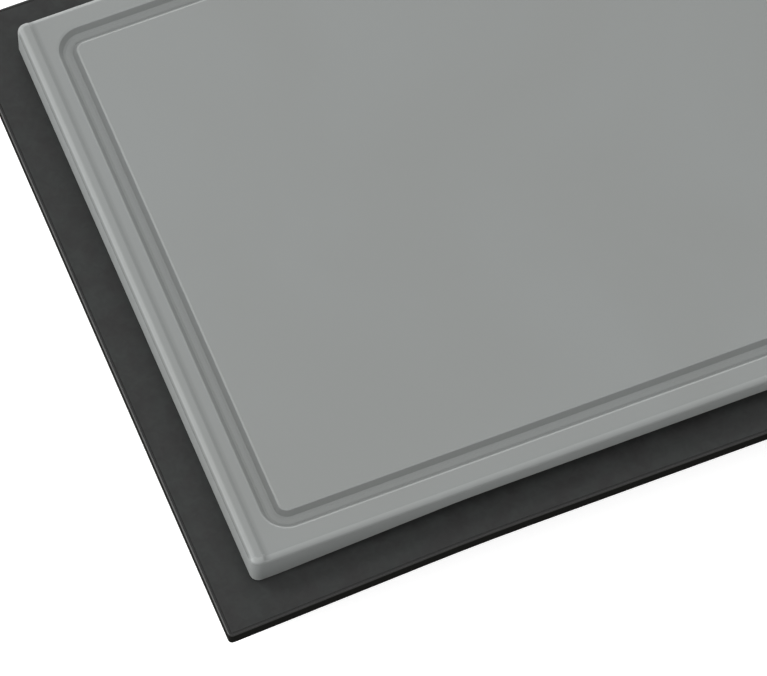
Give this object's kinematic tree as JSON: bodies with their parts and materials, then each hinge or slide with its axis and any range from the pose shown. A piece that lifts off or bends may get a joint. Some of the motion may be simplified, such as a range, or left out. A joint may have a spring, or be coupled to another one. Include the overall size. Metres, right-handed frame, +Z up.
{
  "type": "cutting board with drawer trays",
  "caption": "Grey plastic cutting board with a juice groove, lying on a larger dark deck, with steel trays that pull out like drawers from a low housing underneath.",
  "frame": {"origin": "on the table, under the middle of the deck", "axes": "+X along the long side, +Y from the front, where the trays pull out, to the back, +Z up"},
  "size_m": [0.5726, 0.37, 0.0773],
  "materials": {
    "board_plastic": "satin moulded polyethylene, light grey",
    "deck_laminate": "satin dark grey laminate",
    "edge_band": "satin black plastic edge band",
    "tray_steel": "brushed stainless steel",
    "front_laminate": "satin dark grey laminate",
    "housing_panel": "matt dark grey panel",
    "runner_plastic": "smooth black plastic",
    "rubber_black": "matt black rubber",
    "silicone": "matt grey silicone",
    "screw_steel": "zinc-plated steel"
  },
  "bodies": {
    "housing": {"anti_slip_pads": "silicone", "back_wall": "housing_panel", "centre_wall": "housing_panel", "deck_edge_band": "edge_band", "deck_panel": "deck_laminate", "floor_panel": "housing_panel", "front_rail_left": "housing_panel", "front_rail_right": "housing_panel", "locating_pins": "runner_plastic", "rear_bumpers": "rubber_black", "rubber_feet": "rubber_black", "runner_left_inner": "runner_plastic", "runner_left_outer": "runner_plastic", "runner_right_inner": "runner_plastic", "runner_right_outer": "runner_plastic", "side_wall_left": "housing_panel", "side_wall_right": "housing_panel", "travel_stops": "runner_plastic"},
    "board": {"cutting_board": "board_plastic"},
    "drawer_left": {"drawer_tray_left": "tray_steel", "tray_front_left": "front_laminate"},
    "drawer_right": {"drawer_tray_right": "tray_steel", "tray_front_right": "front_laminate"}
  },
  "joints": [
    {"name": "board_lift", "type": "slide", "parent": "housing", "child": "board", "axis": [0, 0, 1], "range_m": [0, 0.1]},
    {"name": "drawer_left_slide", "type": "slide", "parent": "housing", "child": "drawer_left", "axis": [0, -1, 0], "range_m": [0, 0.195]},
    {"name": "drawer_right_slide", "type": "slide", "parent": "housing", "child": "drawer_right", "axis": [0, -1, 0], "range_m": [0, 0.195]}
  ]
}
